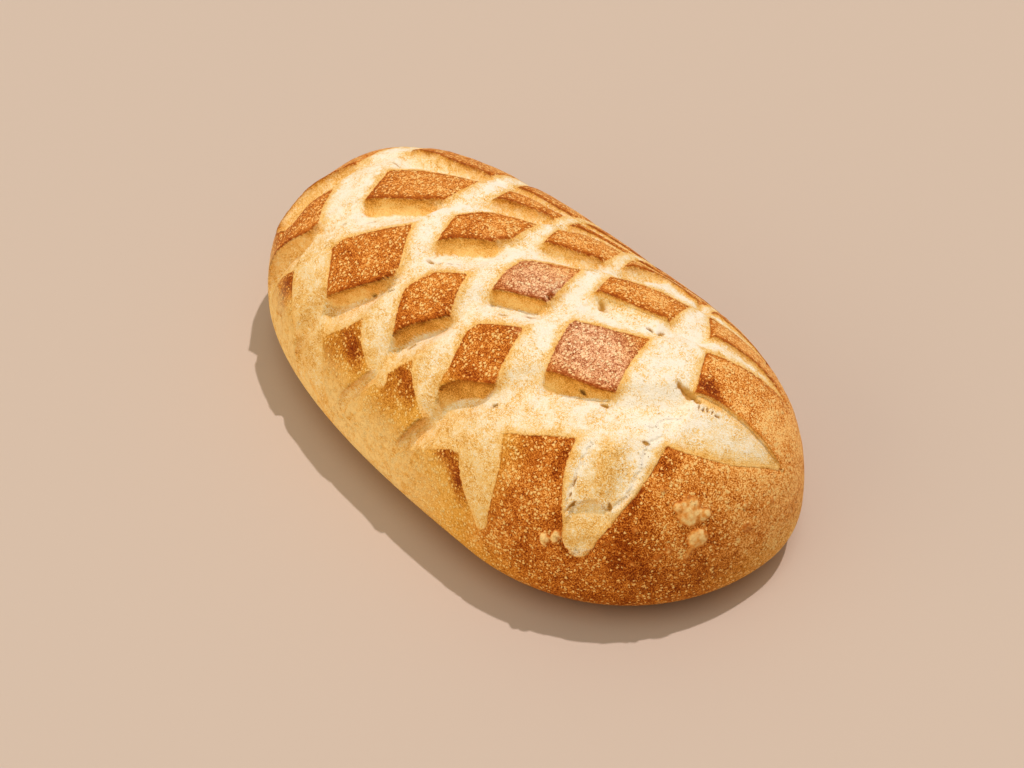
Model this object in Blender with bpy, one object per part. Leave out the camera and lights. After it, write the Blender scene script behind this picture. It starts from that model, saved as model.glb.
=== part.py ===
"""Sourdough vienna loaf: one baked piece, with a lattice of slashes opened across its top crust.

Metres, +Z up. The loaf rests on its flat base, with the middle of its box on the origin.
+X is its round end, -X its blunter end, and the crown of the dome lies a little to +X and +Y.
"""

import math

import bmesh
import bpy
import numpy as np
from mathutils import Vector, noise

MM = 0.001

# Driving dimensions of the whole loaf
LENGTH = 0.280
WIDTH = 0.1512
HEIGHT = 0.0924

# The bulge is the widest level of the side, above the narrower base that it was baked on
BULGE_HEIGHT = 0.0205
BASE_SHARE = 0.86
CROWN_X = 0.0476
CROWN_Y = 0.0129
CROWN = Vector((CROWN_X, CROWN_Y, HEIGHT))

# Squareness of the plan at each end, and of the dome seen from the side and from the end: 2 is an ellipse
ROUND_END = 2.01
BLUNT_END = 2.71
DOME_ALONG = 2.70
DOME_ACROSS = 2.09

# Slashes, each as stations (x, y, half width) in millimetres on the top laid flat round the crown.
# The cross slashes run from the back of the loaf to its front.
CROSS_SLASHES = (
    ((-114, 50, 4.2), (-110, 38, 6.7), (-110, 25, 9.1), (-107, 8, 11.3), (-99, -11, 11.1),
     (-90, -28, 8.2), (-90, -40, 10.1), (-75, -61, 10), (-59, -83, 3.1)),
    ((-56, 60, 4.3), (-53, 45, 6.4), (-50, 30, 7.5), (-51, 18, 6.5), (-52, 8, 6.2), (-49, -7, 7.7),
     (-41, -23, 5.9), (-39, -35, 4.9), (-35, -52, 8.8), (-22, -67, 3.6)),
    ((-13, 68, 1.8), (-13, 48, 2.9), (-12, 30, 4.1), (-11, 17, 5.8), (-11, 3, 5.4), (-8, -15, 6.9),
     (-5, -26, 5.6), (-1, -36, 5.3), (-1, -49, 8.5), (0, -56, 8.2), (10, -71, 1.7)),
    ((19, 72, 2.3), (17, 53, 3.2), (22, 36, 3.6), (24, 19, 6.2), (27, 2, 6.9), (31, -17, 8.5),
     (36, -32, 9.8), (40, -45, 9.7), (37, -59, 10.6), (46, -75, 10.5), (56, -89, 4)),
    ((60, 76, 1), (60, 58, 2.8), (65, 43, 5.4), (72, 29, 9.3), (78, 13, 12.7), (83, 1, 14.8),
     (89, -15, 15), (91, -30, 17.1), (94, -45, 16.2), (98, -57, 12.2), (101, -65, 8.4)),
)
# The long slashes run aslant from the blunt end to the round end. The crust lifts on their back side.
LONG_SLASHES = (
    ((-125, -26, 6.6), (-128, -14, 10.8), (-119, -2, 8.3), (-104, 17, 9), (-93, 25, 9.4),
     (-74, 30, 6), (-38, 42, 2.8), (-17, 45, 2.2), (23, 61, 1.9)),
    ((-122, -57, 4.1), (-113, -47, 6.5), (-94, -37, 8.6), (-88, -22, 11.6), (-80, -16, 10.7),
     (-59, 0, 7.3), (-41, 21, 5.4), (-13, 33, 4.2), (2, 44, 1.5), (34, 55, 1.7), (62, 73, 2)),
    ((-80, -72, 4.8), (-69, -61, 6.6), (-52, -50, 7.3), (-40, -35, 5), (-34, -16, 8.9), (-15, -2, 9.7),
     (-7, 12, 6.8), (23, 29, 5.2), (40, 44, 8.4), (59, 48, 4.9), (92, 65, 2.2)),
    ((-44, -80, 2.7), (-27, -68, 2.9), (-18, -53, 7), (-3, -36, 5.5), (2, -22, 8.2), (26, -8, 7.3),
     (32, 5, 9.3), (63, 18, 6.9), (96, 40, 4.6), (114, 50, 1)),
    ((-7, -87, 1), (13, -73, 7.2), (21, -64, 14.1), (37, -52, 10.8), (51, -40, 13.9), (75, -28, 10.6),
     (90, -15, 9.9), (104, -3, 13), (121, 8, 9.9), (137, 21, 1.9)),
)

# A cross slash is a rounded trough, gentle on its left bank and steep on its right
CROSS_DEPTH = 4.4 * MM
CROSS_SOFT_SIDE = 1.9
CROSS_STEEP_SIDE = 5.0
FULL_DEPTH_HALF_WIDTH = 5.0 * MM
BLOOM = 2.4 * MM
BLOOM_HALF_WIDTH = 12.0 * MM

# A long slash has a steep wall under the lifted crust, and a floor that climbs to the crust in front
LONG_DEPTH = 6.8 * MM
WALL_SHARE = 0.29
LEAST_WALL_RUN = 2.6 * MM
FLOOR_CURVE = 0.85
RIM_NOTCH = 0.9 * MM
RIM_ROUNDING = 1.2 * MM

# Its wall gets low towards the round end, and behind the crown there (x, y on the top laid flat)
LOW_WALL_FROM = 0.048
LOW_WALL_RUN = 0.050
LOW_WALL_SHARE = 0.88
FAR_WALL_FROM = (0.030, 0.008)
FAR_WALL_RUN = 0.014

# Between tiles, where a cross slash runs into a long one, the floor slopes instead of ending in a wall
MEETING_BLEND = 1.0 * MM
SLOPE_BLEND = 2.5 * MM
SLOPE_DEPTH = 5.6 * MM
SLOPE_LEAD = 9.0 * MM
BETWEEN_TILES_FROM = 2.0 * MM
BETWEEN_TILES_REACH = 5.0 * MM

# Dough that swelled up in the widest opening, and the bowl sunk below it (x, y, length, width, turn)
STAR_TONGUE = (92.5, -38, 36, 19, -61)
TONGUE_RISE = 2.3 * MM
STAR_BOWL = (101, -59, 21, 15, 43)
BOWL_DEPTH = 2.0 * MM
STAR_EDGE = 2.0 * MM

# The crust's lifted edge above a long slash, and how far it leans out over the wall
EAR_HEIGHT = 1.2 * MM
EAR_REACH = 5.0 * MM
EAR_LEAN = 0.8 * MM
LEAN_WAY = Vector((0.35, -0.94, 0.0))

# The slashes run out on the lower side, between these heights
FADE_FROM = 0.022
FADE_RUN = 0.026

# Slow unevenness of the dough, and how finely the skin is worked before it is thinned
UNEVENNESS = 0.8 * MM
UNEVEN_SIZE = 0.045
SPHERE_SUBDIVISIONS = 7
RIM_REACHES = (3.6 * MM, 2.2 * MM)
SIDE_BAND = 0.20
SPLINE_STEPS = 8
KEPT_TRIANGLES = 10400

CRUST_COLOR = (0.56, 0.24, 0.075, 1.0)
CRUST_ROUGHNESS = 0.5


def clear_scene():
    for obj in list(bpy.data.objects):
        bpy.data.objects.remove(obj, do_unlink=True)


def smoothstep(value):
    value = np.clip(value, 0.0, 1.0)
    return value * value * (3.0 - 2.0 * value)


def loaf_form(directions):
    """Takes unit directions from the middle of a sphere to points of the smooth, uncut loaf."""
    turn = np.arctan2(directions[:, 1], directions[:, 0])
    level = np.arcsin(np.clip(directions[:, 2], -1.0, 1.0)) / (math.pi / 2)
    c = np.cos(turn)
    s = np.sin(turn)

    squareness = np.where(c > 0, ROUND_END, BLUNT_END)
    reach = (np.abs(c) ** squareness + np.abs(s) ** squareness) ** (-1.0 / squareness)
    plan_x = np.where(c > 0, LENGTH / 2 - CROWN_X, LENGTH / 2 + CROWN_X) * c * reach
    plan_y = np.where(s > 0, WIDTH / 2 - CROWN_Y, WIDTH / 2 + CROWN_Y) * s * reach

    rise = np.sin(np.clip(level, 0.0, 1.0) * math.pi / 2)
    dome = DOME_ACROSS + (DOME_ALONG - DOME_ACROSS) * c**2
    over = np.maximum(1.0 - rise**dome, 0.0) ** (1.0 / dome)

    down = np.clip(-level / SIDE_BAND, 0.0, 1.0)
    inward = np.clip((-level - SIDE_BAND) / (1.0 - SIDE_BAND), 0.0, 1.0)
    under = (1.0 - (1.0 - BASE_SHARE) * down**2) * (1.0 - inward)

    share = np.where(level >= 0, over, under)
    height = np.where(level >= 0, BULGE_HEIGHT + (HEIGHT - BULGE_HEIGHT) * rise, BULGE_HEIGHT * (1.0 - down))
    return np.stack([CROWN_X + plan_x * share, CROWN_Y + plan_y * share, height], axis=1)


def laid_flat(points):
    """The skin laid flat round the crown: each point keeps its straight distance from the crown."""
    away = points - np.array(CROWN)
    plan = np.hypot(away[:, 0], away[:, 1])
    stretch = np.linalg.norm(away, axis=1) / np.maximum(plan, 1e-9)
    return points[:, :2] + away[:, :2] * (stretch - 1.0)[:, None]


def slash_line(stations):
    """A smooth line through a slash's stations, as rows of x, y and half width in metres."""
    ends = [stations[0], *stations, stations[-1]]
    rows = np.array(ends, dtype=float) * MM
    line = []
    for before, start, end, after in zip(rows, rows[1:], rows[2:], rows[3:]):
        for step in range(SPLINE_STEPS):
            t = step / SPLINE_STEPS
            line.append(
                start
                + 0.5 * t * (end - before)
                + t**2 * (before - 2.5 * start + 2 * end - 0.5 * after)
                + t**3 * (1.5 * (start - end) + 0.5 * (after - before))
            )
    line.append(rows[-1])
    return np.array(line)


def across_slash(flat, stations):
    """For each point laid flat: its distance from a slash's line, + on the left of it, and the half width."""
    line = slash_line(stations)
    nearest = np.full(len(flat), np.inf)
    signed = np.zeros(len(flat))
    half = np.zeros(len(flat))
    for start, end in zip(line, line[1:]):
        run = end[:2] - start[:2]
        length = np.hypot(*run)
        away = flat - start[:2]
        along = np.clip(away @ run / length**2, 0.0, 1.0)
        distance = np.hypot(*(away - along[:, None] * run).T)
        side = np.sign(run[0] * away[:, 1] - run[1] * away[:, 0])
        closer = distance < nearest
        nearest = np.where(closer, distance, nearest)
        signed = np.where(closer, distance * side, signed)
        half = np.where(closer, start[2] + along * (end[2] - start[2]), half)
    return signed, half


def cross_depth(signed, half):
    """A rounded trough, with a bloom of dough rising along the middle of a wide one."""
    inside = np.clip(np.abs(signed) / half, 0.0, 1.0)
    full = CROSS_DEPTH * np.minimum(1.0, half / FULL_DEPTH_HALF_WIDTH)
    bloom = BLOOM * smoothstep(half / BLOOM_HALF_WIDTH - 0.3) * (1.0 - inside**2) ** 2
    return full * (1.0 - inside ** np.where(signed > 0, CROSS_STEEP_SIDE, CROSS_SOFT_SIDE)) - bloom


def low_walls(flat):
    """Where the walls of the long slashes are low: 1 for the lowest."""
    near_end = smoothstep((flat[:, 0] - LOW_WALL_FROM) / LOW_WALL_RUN)
    behind = smoothstep((flat - np.array(FAR_WALL_FROM)) / FAR_WALL_RUN)
    return np.maximum(near_end, behind[:, 0] * behind[:, 1])


def long_depth(signed, half, low):
    """A steep wall under the lifted crust, then a floor that climbs back to the crust in front."""
    from_wall = half - signed
    from_front = half + signed
    run = np.maximum(LEAST_WALL_RUN, WALL_SHARE * 2.0 * half * (1.0 - LOW_WALL_SHARE * low))
    full = LONG_DEPTH * np.minimum(1.0, half / FULL_DEPTH_HALF_WIDTH) * (1.0 - LOW_WALL_SHARE * low)
    wall = np.sin(np.clip(from_wall / run, 0.0, 1.0) * math.pi / 2)
    climb = np.clip(from_front / np.maximum(2.0 * half - run, 0.1 * MM), 0.0, 1.0) ** FLOOR_CURVE
    from_edge = np.minimum(from_wall, from_front)
    notch = RIM_NOTCH * smoothstep(from_edge / RIM_ROUNDING)
    return np.where(from_edge > 0, np.maximum(full * np.minimum(wall, climb), notch), 0.0)


def slope_between_tiles(signed, half):
    """Where a cross slash runs into a long one, the floor slopes down from well behind it."""
    run = np.maximum(LEAST_WALL_RUN, WALL_SHARE * 2.0 * half) + SLOPE_LEAD
    full = SLOPE_DEPTH * np.minimum(1.0, half / FULL_DEPTH_HALF_WIDTH)
    climb = np.clip((half + signed) / np.maximum(2.0 * half + SLOPE_LEAD - run, 0.1 * MM), 0.0, 1.0)
    return full * smoothstep((half + SLOPE_LEAD - signed) / run) * climb**FLOOR_CURVE


def ear(signed, half):
    """1 at the lifted rim behind a long slash, falling away behind it."""
    behind = signed - half
    end_fade = smoothstep(half / FULL_DEPTH_HALF_WIDTH)
    near_rim = np.exp(-np.maximum(behind, 0.0) / EAR_REACH) * smoothstep(behind / RIM_ROUNDING + 1.0)
    return near_rim * end_fade


def blended_greater(a, b, blend):
    """The greater of two depths, eased where they are nearly equal."""
    return 0.5 * (a + b + np.sqrt((a - b) ** 2 + blend**2) - blend)


def oval_place(flat, x, y, length, width, turn):
    """Each point's place in an oval on the skin laid flat: along and across it, 1 at its ends and its sides."""
    along = math.radians(turn)
    dx = flat[:, 0] / MM - x
    dy = flat[:, 1] / MM - y
    u = (dx * math.cos(along) + dy * math.sin(along)) / (length / 2)
    v = (dy * math.cos(along) - dx * math.sin(along)) / (width / 2)
    return u, v


def star_depth(flat, rim):
    """The swollen dough in the widest opening (negative), and the bowl with its sharp upper lip."""
    in_star = smoothstep(-rim / STAR_EDGE)
    tongue = 1.0 - smoothstep(np.hypot(*oval_place(flat, *STAR_TONGUE)))
    u, v = oval_place(flat, *STAR_BOWL)
    below_lip = (1.0 - smoothstep((np.hypot(u, v) - 0.85) / 0.15)) * smoothstep((v + 0.8) / 1.4)
    return in_star * (BOWL_DEPTH * below_lip - TONGUE_RISE * tongue * (1.0 - below_lip))


def distance_inside(flat, slashes):
    """How far each point laid flat is from the nearest edge of the slashes, negative inside them."""
    rim = np.full(len(flat), np.inf)
    for stations in slashes:
        signed, half = across_slash(flat, stations)
        rim = np.minimum(rim, np.abs(signed) - half)
    return rim


def slash_relief(flat):
    """How far the skin sinks along its normal, and how much of a lifted edge each point is."""
    depth = np.zeros(len(flat))
    for stations in CROSS_SLASHES:
        depth = np.maximum(depth, cross_depth(*across_slash(flat, stations)))
    cross_rim = distance_inside(flat, CROSS_SLASHES)
    between = smoothstep((BETWEEN_TILES_FROM - cross_rim) / BETWEEN_TILES_REACH)
    low = low_walls(flat)
    lifted = np.zeros(len(flat))
    for stations in LONG_SLASHES:
        signed, half = across_slash(flat, stations)
        opened = blended_greater(depth, long_depth(signed, half, low), MEETING_BLEND)
        under_tile = np.where(np.abs(signed) < half, opened, depth)
        between_tiles = blended_greater(depth, slope_between_tiles(signed, half), SLOPE_BLEND)
        depth = under_tile + between * (between_tiles - under_tile)
        lifted = np.maximum(lifted, ear(signed, half))
    lifted = lifted * (1.0 - smoothstep(depth / (2.0 * EAR_HEIGHT)))
    rim = np.minimum(cross_rim, distance_inside(flat, LONG_SLASHES))
    return depth + star_depth(flat, rim), lifted


def sphere_directions(bm):
    return np.array([vert.co.normalized() for vert in bm.verts])


def sphere_fine_at_rims():
    """A sphere whose triangles are halved again and again where the slashes will have their edges."""
    bm = bmesh.new()
    bmesh.ops.create_icosphere(bm, subdivisions=SPHERE_SUBDIVISIONS, radius=1.0)
    for reach in RIM_REACHES:
        flat = laid_flat(loaf_form(sphere_directions(bm)))
        near = np.abs(distance_inside(flat, CROSS_SLASHES + LONG_SLASHES)) < reach
        bm.verts.index_update()
        edges = [edge for edge in bm.edges if near[edge.verts[0].index] or near[edge.verts[1].index]]
        bmesh.ops.subdivide_edges(bm, edges=edges, cuts=1, use_grid_fill=True)
        bmesh.ops.triangulate(bm, faces=[face for face in bm.faces if len(face.verts) > 3])
    return bm


def shaped_loaf():
    """A sphere drawn out to the loaf, with its slashes opened and its base kept flat."""
    bm = sphere_fine_at_rims()
    smooth = loaf_form(sphere_directions(bm))
    for vert, point in zip(bm.verts, smooth):
        vert.co = point
    bm.normal_update()

    depth, lifted = slash_relief(laid_flat(smooth))
    fade = smoothstep((smooth[:, 2] - FADE_FROM) / FADE_RUN)
    for vert, sink, lift in zip(bm.verts, depth * fade, lifted * fade):
        if vert.co.z < BULGE_HEIGHT:
            continue
        above = (vert.co.z - BULGE_HEIGHT) / (HEIGHT - BULGE_HEIGHT)
        swell = UNEVENNESS * noise.noise(vert.co / UNEVEN_SIZE) * min(1.0, 3.0 * above)
        vert.co += vert.normal * (swell + EAR_HEIGHT * lift - sink) + LEAN_WAY * EAR_LEAN * lift
    return bm


def centre_on_origin(bm):
    for axis in (0, 1):
        values = [vert.co[axis] for vert in bm.verts]
        middle = (min(values) + max(values)) / 2
        for vert in bm.verts:
            vert.co[axis] -= middle


def crust_material():
    material = bpy.data.materials.new("baked crust")
    material.use_nodes = True
    shader = material.node_tree.nodes["Principled BSDF"]
    shader.inputs["Base Color"].default_value = CRUST_COLOR
    shader.inputs["Roughness"].default_value = CRUST_ROUGHNESS
    shader.inputs["Metallic"].default_value = 0.0
    return material


def build_loaf(collection):
    bm = shaped_loaf()
    centre_on_origin(bm)
    bmesh.ops.recalc_face_normals(bm, faces=bm.faces)
    mesh = bpy.data.meshes.new("loaf")
    bm.to_mesh(mesh)
    bm.free()
    mesh.shade_smooth()
    mesh.materials.append(crust_material())

    loaf = bpy.data.objects.new("loaf", mesh)
    collection.objects.link(loaf)
    thin = loaf.modifiers.new("thin", "DECIMATE")
    thin.decimate_type = "COLLAPSE"
    thin.ratio = KEPT_TRIANGLES / len(mesh.polygons)
    thin.use_collapse_triangulate = True
    return loaf


def main():
    clear_scene()
    collection = bpy.data.collections.new("sourdough vienna loaf")
    bpy.context.scene.collection.children.link(collection)
    build_loaf(collection)


main()
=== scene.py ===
"""Looks of the sourdough vienna loaf: its crust, the slashes opened across it, and the studio round it."""

import math

import bmesh
import bpy
import numpy as np
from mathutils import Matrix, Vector, noise


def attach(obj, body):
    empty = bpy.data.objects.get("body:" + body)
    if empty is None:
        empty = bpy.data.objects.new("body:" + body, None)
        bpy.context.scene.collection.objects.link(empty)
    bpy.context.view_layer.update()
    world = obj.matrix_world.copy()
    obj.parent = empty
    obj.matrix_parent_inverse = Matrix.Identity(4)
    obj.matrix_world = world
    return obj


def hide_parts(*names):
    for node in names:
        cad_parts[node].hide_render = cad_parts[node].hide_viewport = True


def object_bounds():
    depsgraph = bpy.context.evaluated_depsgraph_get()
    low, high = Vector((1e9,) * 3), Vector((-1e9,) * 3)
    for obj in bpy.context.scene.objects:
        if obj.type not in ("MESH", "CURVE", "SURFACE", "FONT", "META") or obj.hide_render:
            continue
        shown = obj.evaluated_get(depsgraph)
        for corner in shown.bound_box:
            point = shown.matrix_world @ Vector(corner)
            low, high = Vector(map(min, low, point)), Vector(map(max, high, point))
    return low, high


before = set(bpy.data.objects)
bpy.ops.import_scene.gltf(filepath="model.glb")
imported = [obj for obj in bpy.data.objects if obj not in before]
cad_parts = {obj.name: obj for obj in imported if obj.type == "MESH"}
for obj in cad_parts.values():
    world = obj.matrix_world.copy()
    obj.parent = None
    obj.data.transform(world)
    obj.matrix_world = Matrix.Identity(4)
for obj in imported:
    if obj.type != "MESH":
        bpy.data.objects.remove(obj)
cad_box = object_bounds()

MM = 0.001

# The loaf's driving sizes
LENGTH = 0.280
WIDTH = 0.1512
HEIGHT = 0.0924
BULGE_HEIGHT = 0.0205
BASE_SHARE = 0.86
CROWN_X = 0.0476
CROWN_Y = 0.0129
CROWN = Vector((CROWN_X, CROWN_Y, HEIGHT))
ROUND_END = 2.01
BLUNT_END = 2.71
DOME_ALONG = 2.70
DOME_ACROSS = 2.09

# Slashes, each as stations (x, y, half width) in millimetres on the top laid flat round the crown
CROSS_SLASHES = (
    ((-114, 50, 4.2), (-110, 38, 6.7), (-110, 25, 9.1), (-107, 8, 11.3), (-99, -11, 11.1),
     (-90, -28, 8.2), (-90, -40, 10.1), (-75, -61, 10), (-59, -83, 3.1)),
    ((-56, 60, 4.3), (-53, 45, 6.4), (-50, 30, 7.5), (-51, 18, 6.5), (-52, 8, 6.2), (-49, -7, 7.7),
     (-41, -23, 5.9), (-39, -35, 4.9), (-35, -52, 8.8), (-22, -67, 3.6)),
    ((-13, 68, 1.8), (-13, 48, 2.9), (-12, 30, 4.1), (-11, 17, 5.8), (-11, 3, 5.4), (-8, -15, 6.9),
     (-5, -26, 5.6), (-1, -36, 5.3), (-1, -49, 8.5), (0, -56, 8.2), (10, -71, 1.7)),
    ((19, 72, 2.3), (17, 53, 3.2), (22, 36, 3.6), (24, 19, 6.2), (27, 2, 6.9), (31, -17, 8.5),
     (36, -32, 9.8), (40, -45, 9.7), (37, -59, 10.6), (46, -75, 10.5), (56, -89, 4)),
    ((60, 76, 1), (60, 58, 2.8), (65, 43, 5.4), (72, 29, 9.3), (78, 13, 12.7), (83, 1, 14.8),
     (89, -15, 15), (91, -30, 17.1), (94, -45, 16.2), (98, -57, 12.2), (101, -65, 8.4)),
)
LONG_SLASHES = (
    ((-125, -26, 6.6), (-128, -14, 10.8), (-119, -2, 8.3), (-104, 17, 9), (-93, 25, 9.4),
     (-74, 30, 6), (-38, 42, 2.8), (-17, 45, 2.2), (23, 61, 1.9)),
    ((-122, -57, 4.1), (-113, -47, 6.5), (-94, -37, 8.6), (-88, -22, 11.6), (-80, -16, 10.7),
     (-59, 0, 7.3), (-41, 21, 5.4), (-13, 33, 4.2), (2, 44, 1.5), (34, 55, 1.7), (62, 73, 2)),
    ((-80, -72, 4.8), (-69, -61, 6.6), (-52, -50, 7.3), (-40, -35, 5), (-34, -16, 8.9), (-15, -2, 9.7),
     (-7, 12, 6.8), (23, 29, 5.2), (40, 44, 8.4), (59, 48, 4.9), (92, 65, 2.2)),
    ((-44, -80, 2.7), (-27, -68, 2.9), (-18, -53, 7), (-3, -36, 5.5), (2, -22, 8.2), (26, -8, 7.3),
     (32, 5, 9.3), (63, 18, 6.9), (96, 40, 4.6), (114, 50, 1)),
    ((-7, -87, 1), (13, -73, 7.2), (21, -64, 14.1), (37, -52, 10.8), (51, -40, 13.9), (75, -28, 10.6),
     (90, -15, 9.9), (104, -3, 13), (121, 8, 9.9), (137, 21, 1.9)),
)
SPLINE_STEPS = 8

# Depths and edges of the slashes
CROSS_DEPTH = 4.4 * MM
CROSS_SOFT_SIDE = 1.9
CROSS_STEEP_SIDE = 5.0
LONG_DEPTH = 6.8 * MM
FULL_DEPTH_HALF_WIDTH = 5.0 * MM
WALL_SHARE = 0.29
LEAST_WALL_RUN = 2.6 * MM
WALL_ROUNDING = 1.15
FLOOR_ROUNDING = 0.85
RIM_NOTCH = 0.9 * MM
RIM_ROUNDING = 1.2 * MM
BLOOM = 2.4 * MM
BLOOM_HALF_WIDTH = 12.0 * MM
MEETING_BLEND = 1.0 * MM
SLOPE_BLEND = 2.5 * MM
MEETING_DEPTH = 5.6 * MM
SLOPE_LEAD = 9.0 * MM
BETWEEN_TILES_FROM = 2.0 * MM
BETWEEN_TILES_REACH = 5.0 * MM
LOW_WALL_FROM = 0.048
LOW_WALL_RUN = 0.050
LOW_WALL_SHARE = 0.88
FAR_WALL_FROM = (0.030, 0.008)
FAR_WALL_RUN = 0.014
NO_SLASH_NEAR = 0.03
WELL_ON_CRUST = 0.02
CRUMB_EDGE = 1.5 * MM
CRUST_EDGE = 0.8 * MM

# Toast inside an edge (reach, mm), and the smooth brown line along it on the crust (share, reach in mm)
STEEP_BANK = (1.1, 0.75, 0.9)
SOFT_BANK = (2.0, 0.35, 0.8)
LIFTED_RIM = (1.2, 1.0, 1.8)
FRONT_RIM = (1.5, 0.55, 0.9)

# Dough that swelled up in the widest opening, and the bowl sunk below it (x, y, length, width, turn)
STAR_TONGUE = (92.5, -38, 36, 19, -61)
TONGUE_RISE = 2.3 * MM
STAR_BOWL = (101, -59, 21, 15, 43)
BOWL_DEPTH = 2.0 * MM
STAR_EDGE = 2.0 * MM

# Creases along both sides of the swollen dough, as stations (x, y, half width) in millimetres laid flat
CREASES = (
    ((101, -17, 0.5), (100, -23, 1.1), (104, -30, 0.9), (106, -36, 1.2), (107.5, -43, 1.3),
     (105.5, -49, 1.5), (102, -51.5, 0.6)),
    ((82, -38, 0.4), (84.5, -47, 0.8), (87.5, -55, 1.2), (89.5, -60, 1.2), (92, -62.5, 1.2), (93, -57, 0.5)),
    ((100, -5, 0.4), (96.5, -10, 0.9), (97, -15, 0.8), (94, -17, 0.4)),
    ((93, -72, 0.4), (98, -73.5, 0.8), (104, -71.5, 0.8), (109, -66, 0.7), (112, -59, 0.4)),
)
CREASE_DEPTH = 0.9 * MM
CREASE_WANDER = 0.9 * MM
CREASE_UNEVENNESS = 0.8
CREASE_UNEVEN_SIZE = 0.005
PITTED_REACH = 3.2 * MM

# Edges of the crust tiles: lifted behind the long slashes, worn round where they aren't lifted
EAR_HEIGHT = 1.2 * MM
EAR_REACH = 5.0 * MM
EAR_LEAN = 0.8 * MM
EAR_LEAN_WAY = (0.35, -0.94, 0.0)
SHOULDER_DROP = 0.7 * MM
SHOULDER_REACH = 1.6 * MM

# Unevenness of the skin: how high, and over what size
UNEVENNESS = 0.8 * MM
UNEVEN_SIZE = 0.045
CRUMB_WRINKLE = 0.35 * MM
TONGUE_WRINKLE = 0.5 * MM
CRUMB_WRINKLE_SIZE = 0.0075
CRUST_WRINKLE = 0.18 * MM
CRUST_WRINKLE_SIZE = 0.0045
RAGGED_SIZE = 0.0022
TOAST_SIZE = 0.008
BURNT_SIZE = 0.010

# How finely the skin is worked
SPHERE_SUBDIVISIONS = 7
SIDE_BAND = 0.20
FINE_CRUST_REACH = 1.8 * MM
FINE_CREASE_REACH = 2.0 * MM
FINE_OVAL_MARGIN_MM = 2
LIFTED_RIM_REACH = 0.7 * MM
LIFTED_RIM_ABOVE = 0.02

# Where something begins and the run over which it becomes full: along x or y, up z, or on the skin laid flat.
# Where it grows the other way, the place is taken with its sign turned.
SLASHED_UP = (0.022, 0.026)
OFF_BASE = (0.002, 0.006)
BESIDE_TILE = (-0.0026, 0.0040)
FAR_SIDE = (0.002, 0.010)
FRONT_FLANK = (0.046, 0.014)
FLANK_STOPS = (0.040, 0.030)
LOW_END_ALONG = (0.045, 0.045)
LOW_END_UP = (0.022, 0.044)
LOW_END_ACROSS = (-0.005, 0.040)
ROUND_END_FROM = (0.060, 0.030)
ROUND_END_GRAIN = (0.055, 0.045)
ROUND_END_BLISTERS = (0.090, 0.010)
FAR_RIGHT_ALONG = (0.105, 0.020)
FAR_RIGHT_ACROSS = (-0.020, 0.020)
FOOT_DOWN = (-0.020, 0.014)
FOOT_BACK = (-0.070, 0.040)
GOLDEN_UP = (0.012, 0.030)
PALE_BASE_DOWN = (-0.054, 0.020)
PALE_BASE_ALONG = (-0.002, 0.045)
PALE_BASE_ACROSS = (0.0, 0.020)
STAR_ARMS = (0.102, 0.010)
STAR_TOAST = (0.090, 0.012)
STAR_WALLS = (0.092, 0.010)
FLANK_WALLS = (0.060, 0.010)
BLUNT_END_WALLS = (0.092, 0.016)
PALE_UP = (0.050, 0.030)
PALE_ACROSS = (0.0, 0.050)
PALE_ALONG = (0.102, 0.012)

# The same, in shares of an oval's size or of a wall's height
BOWL_LIP = (0.85, 0.15)
BOWL_SLOPE = (-0.8, 1.4)
TEAR_SIDES = (0.35, 0.65)
WALL_TOAST_UP = (0.04, 0.22)

# How pale the crust is, 0 dark to 1 pale, and what is added to that in places
CRUST_TONE = 0.65
# The low round end is darker: a browner bake there, and painted shade where it faces away from the light
LOW_END_BAKE_AND_SHADE_TONE = -0.26
FAR_SIDE_TONE = 0.11
FLANK_TONE = 0.06
ROUND_END_TONE = 0.08
FAR_RIGHT_TONE = 0.12
FOOT_TONE = -0.22
BURNT_BY_EDGE = 0.30
BURNT_REACH_MM = 3.5

# How toasted the walls are, 0 dark to 1 pale, from their foot up to their rim, and the shade painted in the
# creases
WALL_FOOT_TONE = 0.82
WALL_RIM_TONE = -0.60
CREASE_SHADE_TONE = -0.15

# How rough the crust and the crumb are, and the light that a glossy crust throws back
DULL_ROUGHNESS = 0.58
GLOSSY_ROUGHNESS = 0.36
EDGE_ROUGHNESS = 0.7
CRUMB_ROUGHNESS = 0.85
SHEEN = 0.6
LEAST_SHEEN = 0.04
GRAIN_HEIGHT = 0.5 * MM
GRAIN_STRENGTH = 0.9

# Blisters (x, y, length, width, height, turn in degrees) in millimetres on the top laid flat
BLISTERS = (
    (89, -76.5, 5.4, 4.6, 1.4, 40), (93, -72.5, 5.6, 4.8, 1.2, 50), (128.5, -25, 12, 10.5, 1.3, 70),
    (124.5, -28, 5, 4.5, 1.4, 0), (133, -20.5, 8, 4.6, 1.0, 70), (138, -27, 10, 7, 1.3, 60),
    (139.5, -32, 10, 2.6, 0.6, -75), (133, -40, 3.6, 3.0, 0.8, 30), (132, -45, 3.6, 2.4, 0.6, 60),
    (126, -55, 4.2, 1.8, 0.5, 20), (148, -4, 6, 3.4, 0.6, 70), (141, -2, 3.4, 2.4, 0.6, 60),
    (146, 12, 2.8, 2.2, 0.6, 30), (116, -29, 3.0, 2.2, 0.5, 30), (118, -47, 3.6, 2.4, 0.5, 50),
    (112, -59, 7, 0.9, 0.4, 60),
)
BLISTER_SWELL = 1.2
BLISTER_ROUNDING = 0.6
BLISTER_RAGGED_EDGE = 0.15
BLISTER_FULL_HEIGHT = 1.1 * MM

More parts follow.
